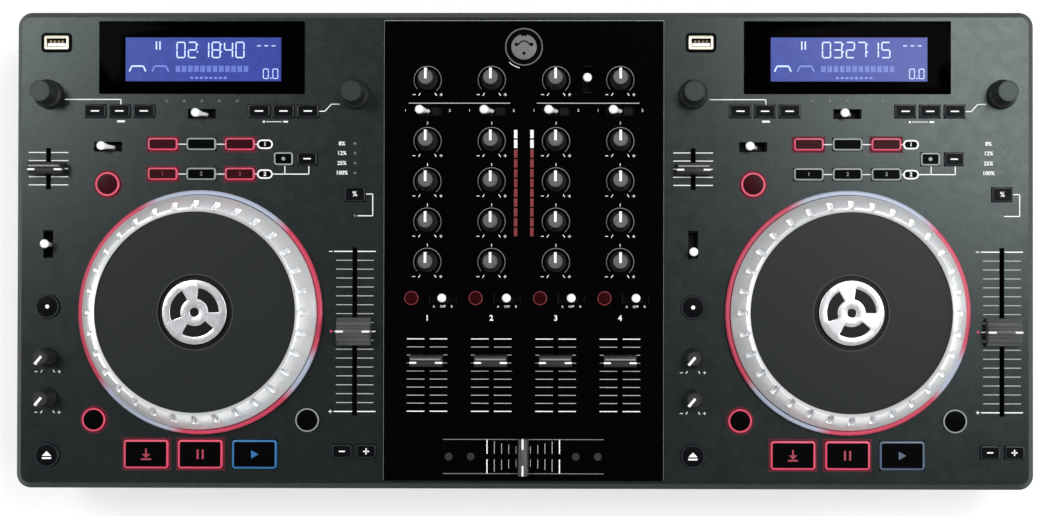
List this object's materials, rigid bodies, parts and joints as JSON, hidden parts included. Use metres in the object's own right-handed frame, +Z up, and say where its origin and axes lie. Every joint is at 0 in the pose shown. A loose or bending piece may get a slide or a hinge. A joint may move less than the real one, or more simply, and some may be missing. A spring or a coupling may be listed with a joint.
{
  "type": "dual disc player console",
  "caption": "Table-top disc-jockey console: two slot-loading disc decks with jog wheels, displays and pitch faders on either side of a four-channel mixer with knobs and faders.",
  "frame": {"origin": "middle of the footprint at the table, under the feet", "axes": "+X to the user's right, +Y to the rear with the sockets, +Z up"},
  "size_m": [0.64, 0.3, 0.102],
  "materials": {
    "tray": "satin",
    "panel": "satin",
    "mixer_panel": "gloss",
    "window": "gloss",
    "screen": "gloss",
    "light_ring": "frosted",
    "steel": "satin",
    "board": "matte",
    "rubber": "matte",
    "black_plastic": "matte",
    "jog_metal": "satin",
    "disc_face": "gloss",
    "lever_white": "gloss",
    "key": "gloss"
  },
  "bodies": {
    "chassis": {"bottom_tray": "tray", "top_cover": "panel", "mixer_plates": "mixer_panel", "display_windows": "window", "display_modules": "screen", "jog_light_rings": "light_ring", "disc_drives": "steel", "electronics": "board", "audio_sockets": "black_plastic", "data_sockets": "steel", "control_bases": "black_plastic", "feet": "rubber", "screws": "steel"},
    "cue_mix_knob": {"cue_mix_knob": "rubber"},
    "gain_knob_1": {"gain_knob_1": "rubber"},
    "treble_knob_1": {"treble_knob_1": "rubber"},
    "middle_knob_1": {"middle_knob_1": "rubber"},
    "bass_knob_1": {"bass_knob_1": "rubber"},
    "cue_gain_knob": {"cue_gain_knob": "rubber"},
    "gain_knob_2": {"gain_knob_2": "rubber"},
    "treble_knob_2": {"treble_knob_2": "rubber"},
    "middle_knob_2": {"middle_knob_2": "rubber"},
    "bass_knob_2": {"bass_knob_2": "rubber"},
    "booth_knob": {"booth_knob": "rubber"},
    "gain_knob_3": {"gain_knob_3": "rubber"},
    "treble_knob_3": {"treble_knob_3": "rubber"},
    "middle_knob_3": {"middle_knob_3": "rubber"},
    "bass_knob_3": {"bass_knob_3": "rubber"},
    "master_knob": {"master_knob": "rubber"},
    "gain_knob_4": {"gain_knob_4": "rubber"},
    "treble_knob_4": {"treble_knob_4": "rubber"},
    "middle_knob_4": {"middle_knob_4": "rubber"},
    "bass_knob_4": {"bass_knob_4": "rubber"},
    "jog_ring_left": {"jog_ring_left": "jog_metal"},
    "jog_disc_left": {"jog_disc_left": "disc_face"},
    "parameter_knob_left": {"parameter_knob_left": "rubber"},
    "track_knob_left": {"track_knob_left": "rubber"},
    "stop_time_knob_left": {"stop_time_knob_left": "rubber"},
    "start_time_knob_left": {"start_time_knob_left": "rubber"},
    "transport_buttons_left": {"transport_buttons_left": "key"},
    "pitch_fader_left": {"pitch_fader_left": "black_plastic"},
    "jog_ring_right": {"jog_ring_right": "jog_metal"},
    "jog_disc_right": {"jog_disc_right": "disc_face"},
    "parameter_knob_right": {"parameter_knob_right": "rubber"},
    "track_knob_right": {"track_knob_right": "rubber"},
    "stop_time_knob_right": {"stop_time_knob_right": "rubber"},
    "start_time_knob_right": {"start_time_knob_right": "rubber"},
    "transport_buttons_right": {"transport_buttons_right": "key"},
    "pitch_fader_right": {"pitch_fader_right": "black_plastic"},
    "crossfader_cap": {"crossfader_cap": "black_plastic"},
    "channel_fader_caps": {"channel_fader_caps": "black_plastic"},
    "effect_fader_caps": {"effect_fader_caps": "black_plastic"},
    "input_lever_1": {"input_lever_1": "lever_white"},
    "input_lever_2": {"input_lever_2": "lever_white"},
    "input_lever_3": {"input_lever_3": "lever_white"},
    "input_lever_4": {"input_lever_4": "lever_white"},
    "select_levers": {"select_levers": "lever_white"},
    "reverse_levers": {"reverse_levers": "lever_white"},
    "key_buttons": {"key_buttons": "key"},
    "round_buttons": {"round_buttons": "key"}
  },
  "joints": [
    {"name": "cue_mix_turn", "type": "hinge", "parent": "chassis", "child": "cue_mix_knob", "pos_m": [-0.06053, 0.1069, 0.085], "axis": [0, 0, 1], "range_deg": [-150, 150]},
    {"name": "gain_1_turn", "type": "hinge", "parent": "chassis", "child": "gain_knob_1", "pos_m": [-0.06053, 0.0685, 0.085], "axis": [0, 0, 1], "range_deg": [-150, 150]},
    {"name": "treble_1_turn", "type": "hinge", "parent": "chassis", "child": "treble_knob_1", "pos_m": [-0.06053, 0.0432, 0.085], "axis": [0, 0, 1], "range_deg": [-150, 150]},
    {"name": "middle_1_turn", "type": "hinge", "parent": "chassis", "child": "middle_knob_1", "pos_m": [-0.06053, 0.0179, 0.085], "axis": [0, 0, 1], "range_deg": [-150, 150]},
    {"name": "bass_1_turn", "type": "hinge", "parent": "chassis", "child": "bass_knob_1", "pos_m": [-0.06053, -0.0074, 0.085], "axis": [0, 0, 1], "range_deg": [-150, 150]},
    {"name": "cue_gain_turn", "type": "hinge", "parent": "chassis", "child": "cue_gain_knob", "pos_m": [-0.02018, 0.1069, 0.085], "axis": [0, 0, 1], "range_deg": [-150, 150]},
    {"name": "gain_2_turn", "type": "hinge", "parent": "chassis", "child": "gain_knob_2", "pos_m": [-0.02018, 0.0685, 0.085], "axis": [0, 0, 1], "range_deg": [-150, 150]},
    {"name": "treble_2_turn", "type": "hinge", "parent": "chassis", "child": "treble_knob_2", "pos_m": [-0.02018, 0.0432, 0.085], "axis": [0, 0, 1], "range_deg": [-150, 150]},
    {"name": "middle_2_turn", "type": "hinge", "parent": "chassis", "child": "middle_knob_2", "pos_m": [-0.02018, 0.0179, 0.085], "axis": [0, 0, 1], "range_deg": [-150, 150]},
    {"name": "bass_2_turn", "type": "hinge", "parent": "chassis", "child": "bass_knob_2", "pos_m": [-0.02018, -0.0074, 0.085], "axis": [0, 0, 1], "range_deg": [-150, 150]},
    {"name": "booth_turn", "type": "hinge", "parent": "chassis", "child": "booth_knob", "pos_m": [0.02018, 0.1069, 0.085], "axis": [0, 0, 1], "range_deg": [-150, 150]},
    {"name": "gain_3_turn", "type": "hinge", "parent": "chassis", "child": "gain_knob_3", "pos_m": [0.02018, 0.0685, 0.085], "axis": [0, 0, 1], "range_deg": [-150, 150]},
    {"name": "treble_3_turn", "type": "hinge", "parent": "chassis", "child": "treble_knob_3", "pos_m": [0.02018, 0.0432, 0.085], "axis": [0, 0, 1], "range_deg": [-150, 150]},
    {"name": "middle_3_turn", "type": "hinge", "parent": "chassis", "child": "middle_knob_3", "pos_m": [0.02018, 0.0179, 0.085], "axis": [0, 0, 1], "range_deg": [-150, 150]},
    {"name": "bass_3_turn", "type": "hinge", "parent": "chassis", "child": "bass_knob_3", "pos_m": [0.02018, -0.0074, 0.085], "axis": [0, 0, 1], "range_deg": [-150, 150]},
    {"name": "master_turn", "type": "hinge", "parent": "chassis", "child": "master_knob", "pos_m": [0.06053, 0.1069, 0.085], "axis": [0, 0, 1], "range_deg": [-150, 150]},
    {"name": "gain_4_turn", "type": "hinge", "parent": "chassis", "child": "gain_knob_4", "pos_m": [0.06053, 0.0685, 0.085], "axis": [0, 0, 1], "range_deg": [-150, 150]},
    {"name": "treble_4_turn", "type": "hinge", "parent": "chassis", "child": "treble_knob_4", "pos_m": [0.06053, 0.0432, 0.085], "axis": [0, 0, 1], "range_deg": [-150, 150]},
    {"name": "middle_4_turn", "type": "hinge", "parent": "chassis", "child": "middle_knob_4", "pos_m": [0.06053, 0.0179, 0.085], "axis": [0, 0, 1], "range_deg": [-150, 150]},
    {"name": "bass_4_turn", "type": "hinge", "parent": "chassis", "child": "bass_knob_4", "pos_m": [0.06053, -0.0074, 0.085], "axis": [0, 0, 1], "range_deg": [-150, 150]},
    {"name": "jog_ring_left_spin", "type": "hinge", "parent": "chassis", "child": "jog_ring_left", "pos_m": [-0.203, -0.0392, 0.09], "axis": [0, 0, 1], "continuous": true},
    {"name": "jog_disc_left_spin", "type": "hinge", "parent": "chassis", "child": "jog_disc_left", "pos_m": [-0.203, -0.0392, 0.09], "axis": [0, 0, 1], "continuous": true},
    {"name": "parameter_left_turn", "type": "hinge", "parent": "chassis", "child": "parameter_knob_left", "pos_m": [-0.2997, 0.098, 0.085], "axis": [0, 0, 1], "continuous": true},
    {"name": "track_left_turn", "type": "hinge", "parent": "chassis", "child": "track_knob_left", "pos_m": [-0.1063, 0.098, 0.085], "axis": [0, 0, 1], "continuous": true},
    {"name": "stop_time_left_turn", "type": "hinge", "parent": "chassis", "child": "stop_time_knob_left", "pos_m": [-0.2997, -0.0675, 0.085], "axis": [0, 0, 1], "range_deg": [-290, 10]},
    {"name": "start_time_left_turn", "type": "hinge", "parent": "chassis", "child": "start_time_knob_left", "pos_m": [-0.2997, -0.0931, 0.085], "axis": [0, 0, 1], "range_deg": [-290, 10]},
    {"name": "transport_left_press", "type": "slide", "parent": "chassis", "child": "transport_buttons_left", "axis": [0, 0, 1], "range_m": [-0.0012, 0], "stiffness_N_per_m": 1500, "springref_m": 0.0004},
    {"name": "pitch_left_slide", "type": "slide", "parent": "chassis", "child": "pitch_fader_left", "axis": [0, 1, 0], "range_m": [-0.05, 0.05]},
    {"name": "jog_ring_right_spin", "type": "hinge", "parent": "chassis", "child": "jog_ring_right", "pos_m": [0.203, -0.0392, 0.09], "axis": [0, 0, 1], "continuous": true},
    {"name": "jog_disc_right_spin", "type": "hinge", "parent": "chassis", "child": "jog_disc_right", "pos_m": [0.203, -0.0392, 0.09], "axis": [0, 0, 1], "continuous": true},
    {"name": "parameter_right_turn", "type": "hinge", "parent": "chassis", "child": "parameter_knob_right", "pos_m": [0.1063, 0.098, 0.085], "axis": [0, 0, 1], "continuous": true},
    {"name": "track_right_turn", "type": "hinge", "parent": "chassis", "child": "track_knob_right", "pos_m": [0.2997, 0.098, 0.085], "axis": [0, 0, 1], "continuous": true},
    {"name": "stop_time_right_turn", "type": "hinge", "parent": "chassis", "child": "stop_time_knob_right", "pos_m": [0.1063, -0.0675, 0.085], "axis": [0, 0, 1], "range_deg": [-290, 10]},
    {"name": "start_time_right_turn", "type": "hinge", "parent": "chassis", "child": "start_time_knob_right", "pos_m": [0.1063, -0.0931, 0.085], "axis": [0, 0, 1], "range_deg": [-290, 10]},
    {"name": "transport_right_press", "type": "slide", "parent": "chassis", "child": "transport_buttons_right", "axis": [0, 0, 1], "range_m": [-0.0012, 0], "stiffness_N_per_m": 1500, "springref_m": 0.0004},
    {"name": "pitch_right_slide", "type": "slide", "parent": "chassis", "child": "pitch_fader_right", "axis": [0, 1, 0], "range_m": [-0.05, 0.05]},
    {"name": "crossfader_slide", "type": "slide", "parent": "chassis", "child": "crossfader_cap", "axis": [1, 0, 0], "range_m": [-0.0225, 0.0225]},
    {"name": "channel_faders_slide", "type": "slide", "parent": "chassis", "child": "channel_fader_caps", "axis": [0, 1, 0], "range_m": [-0.0315, 0.0135]},
    {"name": "effect_faders_slide", "type": "slide", "parent": "chassis", "child": "effect_fader_caps", "axis": [0, 1, 0], "range_m": [-0.0102, 0.0102]},
    {"name": "input_1_tilt", "type": "hinge", "parent": "chassis", "child": "input_lever_1", "pos_m": [-0.06053, 0.0877, 0.0779], "axis": [0, 1, 0], "range_deg": [0, 44]},
    {"name": "input_2_tilt", "type": "hinge", "parent": "chassis", "child": "input_lever_2", "pos_m": [-0.02018, 0.0877, 0.0779], "axis": [0, 1, 0], "range_deg": [0, 44]},
    {"name": "input_3_tilt", "type": "hinge", "parent": "chassis", "child": "input_lever_3", "pos_m": [0.02018, 0.0877, 0.0779], "axis": [0, 1, 0], "range_deg": [0, 44]},
    {"name": "input_4_tilt", "type": "hinge", "parent": "chassis", "child": "input_lever_4", "pos_m": [0.06053, 0.0877, 0.0779], "axis": [0, 1, 0], "range_deg": [0, 44]},
    {"name": "select_levers_throw", "type": "slide", "parent": "chassis", "child": "select_levers", "axis": [1, 0, 0], "range_m": [-0.0046, 0.0046]},
    {"name": "reverse_levers_throw", "type": "slide", "parent": "chassis", "child": "reverse_levers", "axis": [0, 1, 0], "range_m": [0, 0.0046]},
    {"name": "key_buttons_press", "type": "slide", "parent": "chassis", "child": "key_buttons", "axis": [0, 0, 1], "range_m": [-0.0012, 0], "stiffness_N_per_m": 4000, "springref_m": 0.0004},
    {"name": "round_buttons_press", "type": "slide", "parent": "chassis", "child": "round_buttons", "axis": [0, 0, 1], "range_m": [-0.0012, 0], "stiffness_N_per_m": 2500, "springref_m": 0.0004}
  ]
}
